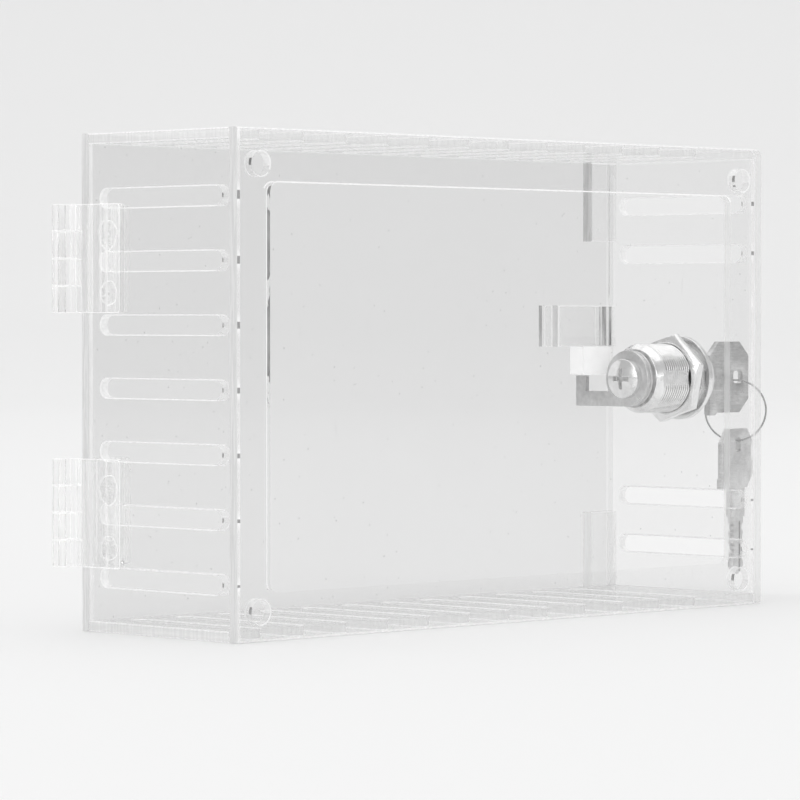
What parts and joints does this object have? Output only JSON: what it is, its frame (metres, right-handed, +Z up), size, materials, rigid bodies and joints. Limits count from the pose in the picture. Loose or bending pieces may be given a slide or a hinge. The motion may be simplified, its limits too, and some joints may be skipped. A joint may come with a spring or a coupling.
{
  "type": "thermostat lock box",
  "caption": "Clear acrylic wall guard for a thermostat, with air slots, an open back, a hinged door and a cam lock with keys.",
  "frame": {"origin": "centre of the four wall screw holes, on the face that lies against the wall", "axes": "+X towards the hinges, which is right as seen from the room; +Y into the wall, so the door faces -Y; +Z up"},
  "size_m": [0.2657, 0.0711, 0.14],
  "materials": {
    "clear_sheet": "clear polished acrylic with laser-cut edges",
    "clear_hinge": "clear moulded plastic",
    "frosted_sheet": "acrylic with sawn, hazy faces",
    "chrome_lock": "bright nickel plating",
    "dull_steel": "dull zinc plating",
    "plug_metal": "die-cast, satin",
    "wafer_brass": "stamped, satin",
    "key_steel": "stamped, nickel plated, satin",
    "ring_wire": "drawn wire"
  },
  "bodies": {
    "box": {"back_plate": "clear_sheet", "hinge_wall": "clear_sheet", "lock_wall": "clear_sheet", "top_wall": "clear_sheet", "bottom_wall": "clear_sheet", "upper_stop_block": "clear_sheet", "lower_stop_block": "clear_sheet", "upper_wall_leaf": "clear_hinge", "upper_hinge_pin": "clear_hinge", "lower_wall_leaf": "clear_hinge", "lower_hinge_pin": "clear_hinge", "lock_body": "chrome_lock", "lock_nut": "chrome_lock"},
    "door": {"door_panel": "clear_sheet", "upper_door_leaf": "clear_hinge", "lower_door_leaf": "clear_hinge", "catch_block": "clear_sheet", "catch_arm": "clear_sheet", "catch_lip": "frosted_sheet"},
    "plug": {"lock_plug": "plug_metal", "lock_wafers": "wafer_brass", "cam_washer": "dull_steel", "lock_cam": "dull_steel", "cam_screw": "chrome_lock"},
    "key": {"key_in_lock": "key_steel"},
    "ring": {"key_ring": "ring_wire"},
    "spare": {"spare_key": "key_steel"}
  },
  "joints": [
    {"name": "door_hinge", "type": "hinge", "parent": "box", "child": "door", "pos_m": [0.11385, -0.06835, 0], "axis": [0, 0, 1], "range_deg": [0, 180]},
    {"name": "lock_turn", "type": "hinge", "parent": "box", "child": "plug", "pos_m": [-0.11, -0.0344, 0.00015], "axis": [-1, 0, 0], "range_deg": [-74, 16]},
    {"name": "key_slide", "type": "slide", "parent": "plug", "child": "key", "axis": [-1, 0, 0], "range_m": [0, 0.0195]},
    {"name": "ring_swing", "type": "hinge", "parent": "key", "child": "ring", "pos_m": [-0.138, -0.0344, -0.00085], "axis": [0, 1, 0], "range_deg": [-15, 20]},
    {"name": "spare_key_swing", "type": "hinge", "parent": "ring", "child": "spare", "pos_m": [-0.138, -0.0344, -0.02025], "axis": [-0.7071, 0.7071, 0], "range_deg": [-15, 15]}
  ]
}
